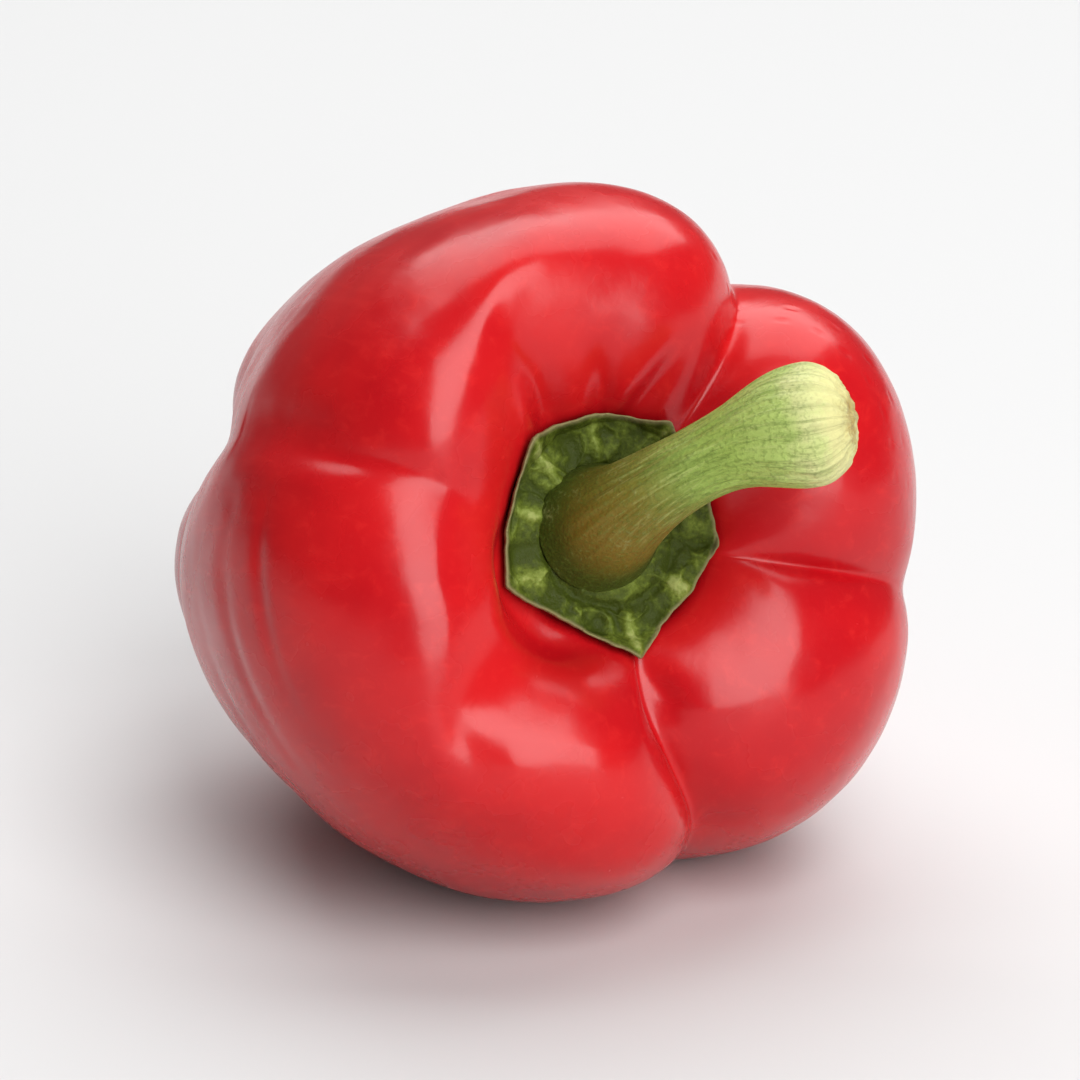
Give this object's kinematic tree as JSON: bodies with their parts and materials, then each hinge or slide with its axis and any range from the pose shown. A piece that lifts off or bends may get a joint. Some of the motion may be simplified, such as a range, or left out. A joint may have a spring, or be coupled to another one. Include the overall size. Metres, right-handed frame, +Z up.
{
  "type": "bell pepper",
  "caption": "Blocky lobed bell pepper lying on its side, with a green calyx in its sunken stem end and a short curved stem with a flared, cut end.",
  "frame": {"origin": "on the surface the pepper lies on, under the middle of its bounding box", "axes": "+Z up; the stem end faces -Y, turned about 20 degrees towards +X and raised about 20 degrees; +X to the right of someone who looks at the stem end"},
  "size_m": [0.0898, 0.1004, 0.084],
  "materials": {
    "skin": "taut, waxy, glossy red skin",
    "calyx_green": "veined, wrinkled dark green leaf, half matte",
    "stem_green": "finely ribbed light green stalk, half matte"
  },
  "bodies": {
    "root": {"fruit": "skin", "calyx": "calyx_green", "stem": "stem_green"}
  },
  "joints": []
}
